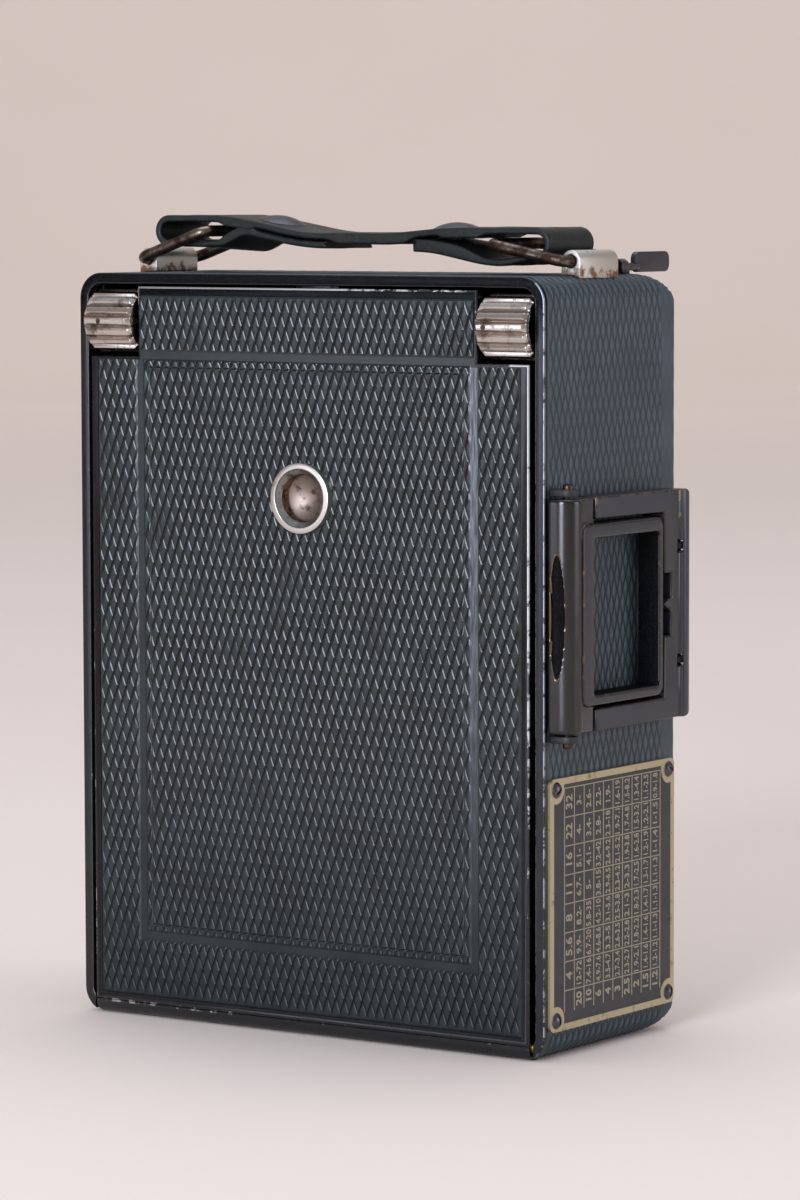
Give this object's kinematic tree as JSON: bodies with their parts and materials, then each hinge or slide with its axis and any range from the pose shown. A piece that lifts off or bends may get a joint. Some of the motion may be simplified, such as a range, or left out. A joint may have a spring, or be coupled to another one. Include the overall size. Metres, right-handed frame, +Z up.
{
  "type": "folding plate camera",
  "caption": "Closed folding-bed plate camera in embossed dark leather, with fluted focusing knobs, folding frame finder, strap handle, depth table plate and a tripod bush in its bed.",
  "frame": {"origin": "centre of the bottom face", "axes": "+Z up, -Y is the front bed, +X is the side with the finder and the table plate"},
  "size_m": [0.0919, 0.0473, 0.127],
  "materials": {
    "enamel": "baked black enamel, glossy, worn at the edges",
    "leather": "dark green-black leather embossed with small diamonds",
    "nickel": "dulled nickel plate",
    "brass": "aged brass",
    "steel": "bright spring steel",
    "table": "etched brass plate with a brown-black field and bare lines",
    "cloth": "folded black bellows cloth",
    "glass": "lens glass and ground glass"
  },
  "bodies": {
    "body": {"body_casing": "enamel", "body_leather": "leather", "hinge_pin": "brass", "bed_spring": "steel", "handle_lugs": "nickel", "table_plate": "table", "table_screws": "enamel", "finder_lugs_front": "enamel", "finder_pin_front": "brass", "finder_lugs_rear": "enamel", "finder_pin_rear": "brass", "catch_saddle": "nickel", "standard_rails": "steel", "standard_base": "enamel", "lens_standard": "enamel", "lens_board": "enamel", "shutter_case": "enamel", "shutter_blades": "steel", "lens_barrel": "enamel", "front_lens": "glass", "rear_lens_cell": "brass", "bellows": "cloth", "bellows_frame": "steel", "back_rails": "enamel", "stay_studs": "steel"},
    "bed": {"bed_plate": "enamel", "bed_leather": "leather", "tripod_bush": "nickel", "track_guides": "enamel", "shaft_bearings": "brass", "stay_brackets": "enamel", "stay_rivets": "steel", "distance_scale": "nickel"},
    "track": {"focus_track": "nickel", "focus_racks": "brass"},
    "focus_shaft": {"pinion_shaft": "steel", "pinions": "brass", "knob_left": "nickel", "knob_right": "nickel", "knob_pins": "brass"},
    "stay_left_arm": {"stay_left": "enamel"},
    "stay_right_arm": {"stay_right": "enamel"},
    "finder_front_leaf": {"finder_front": "enamel"},
    "finder_rear_leaf": {"finder_rear": "enamel"},
    "handle": {"handle_strap": "leather", "handle_rivets": "enamel"},
    "left_loop": {"loop_left": "nickel"},
    "right_loop": {"loop_right": "nickel"},
    "catch": {"back_catch": "enamel"},
    "focusing_back": {"focusing_frame": "enamel", "ground_glass": "glass", "hood_pins": "steel"},
    "hood": {"hood_cover": "enamel"},
    "left_flap": {"hood_flap_left": "leather"},
    "right_flap": {"hood_flap_right": "leather"},
    "shutter_ring": {"speed_ring": "nickel"},
    "aperture": {"aperture_lever": "brass"},
    "cocking": {"cocking_lever": "nickel"},
    "release": {"release_lever": "nickel"}
  },
  "joints": [
    {"name": "bed_hinge", "type": "hinge", "parent": "body", "child": "bed", "pos_m": [0, -0.01785, 0.0018], "axis": [1, 0, 0], "range_deg": [0, 90]},
    {"name": "focus_turn", "type": "hinge", "parent": "bed", "child": "focus_shaft", "pos_m": [0, -0.0164, 0.11045], "axis": [1, 0, 0], "range_deg": [-1, 116]},
    {"name": "track_slide", "type": "slide", "parent": "bed", "child": "track", "axis": [0, 0, 1], "range_m": [0, 0.004]},
    {"name": "stay_left_swing", "type": "hinge", "parent": "bed", "child": "stay_left_arm", "pos_m": [-0.04005, -0.01595, 0.0197], "axis": [1, 0, 0], "range_deg": [-45, 0]},
    {"name": "stay_right_swing", "type": "hinge", "parent": "bed", "child": "stay_right_arm", "pos_m": [0.04005, -0.01595, 0.0197], "axis": [1, 0, 0], "range_deg": [-45, 0]},
    {"name": "finder_front_swing", "type": "hinge", "parent": "body", "child": "finder_front_leaf", "pos_m": [0.04615, -0.01645, 0.06735], "axis": [0, 0, -1], "range_deg": [0, 90]},
    {"name": "finder_rear_swing", "type": "hinge", "parent": "body", "child": "finder_rear_leaf", "pos_m": [0.04615, 0.0147, 0.06735], "axis": [0, 0, 1], "range_deg": [0, 90]},
    {"name": "handle_lift", "type": "slide", "parent": "body", "child": "handle", "axis": [0, 0, 1], "range_m": [0, 0.006]},
    {"name": "loop_left_swing", "type": "hinge", "parent": "body", "child": "left_loop", "pos_m": [-0.04, -0.00055, 0.1201], "axis": [0, -1, 0], "range_deg": [0, 31.46]},
    {"name": "loop_right_swing", "type": "hinge", "parent": "body", "child": "right_loop", "pos_m": [0.04, -0.00055, 0.1201], "axis": [0, 1, 0], "range_deg": [0, 28.54]},
    {"name": "catch_turn", "type": "hinge", "parent": "body", "child": "catch", "pos_m": [0.0386, 0.00975, 0.119], "axis": [0, -1, 0], "range_deg": [0, 90]},
    {"name": "back_slide", "type": "slide", "parent": "body", "child": "focusing_back", "axis": [0, 0, 1], "range_m": [0, 0.09]},
    {"name": "hood_open", "type": "hinge", "parent": "focusing_back", "child": "hood", "pos_m": [0, 0.025, 0.1067], "axis": [1, 0, 0], "range_deg": [0, 90]},
    {"name": "flap_left_open", "type": "hinge", "parent": "focusing_back", "child": "left_flap", "pos_m": [-0.0325, 0.024, 0.06], "axis": [0, 0, 1], "range_deg": [0, 90]},
    {"name": "flap_right_open", "type": "hinge", "parent": "focusing_back", "child": "right_flap", "pos_m": [0.0325, 0.024, 0.06], "axis": [0, 0, -1], "range_deg": [0, 90]},
    {"name": "speed_turn", "type": "hinge", "parent": "body", "child": "shutter_ring", "pos_m": [0, -0.0057, 0.059], "axis": [0, -1, 0], "range_deg": [0, 120]},
    {"name": "aperture_turn", "type": "hinge", "parent": "body", "child": "aperture", "pos_m": [0, -0.00705, 0.059], "axis": [0, -1, 0], "range_deg": [-35, 35]},
    {"name": "cocking_swing", "type": "hinge", "parent": "body", "child": "cocking", "pos_m": [-0.01182, -0.0055, 0.07587], "axis": [0, -1, 0], "range_deg": [0, 40]},
    {"name": "release_press", "type": "hinge", "parent": "body", "child": "release", "pos_m": [0.01688, -0.0055, 0.04718], "axis": [0, -1, 0], "range_deg": [0, 18], "stiffness_Nm_per_rad": 0.002}
  ],
  "couplings": [
    {"joint": "focus_turn", "follows": "track_slide", "rad_per_m": 500},
    {"joint": "stay_left_swing", "follows": "bed_hinge", "ratio": -0.5},
    {"joint": "stay_right_swing", "follows": "bed_hinge", "ratio": -0.5},
    {"joint": "loop_left_swing", "follows": "handle_lift", "rad_per_m": 91.208},
    {"joint": "loop_right_swing", "follows": "handle_lift", "rad_per_m": 82.725},
    {"joint": "flap_left_open", "follows": "hood_open", "ratio": 1},
    {"joint": "flap_right_open", "follows": "hood_open", "ratio": 1}
  ]
}
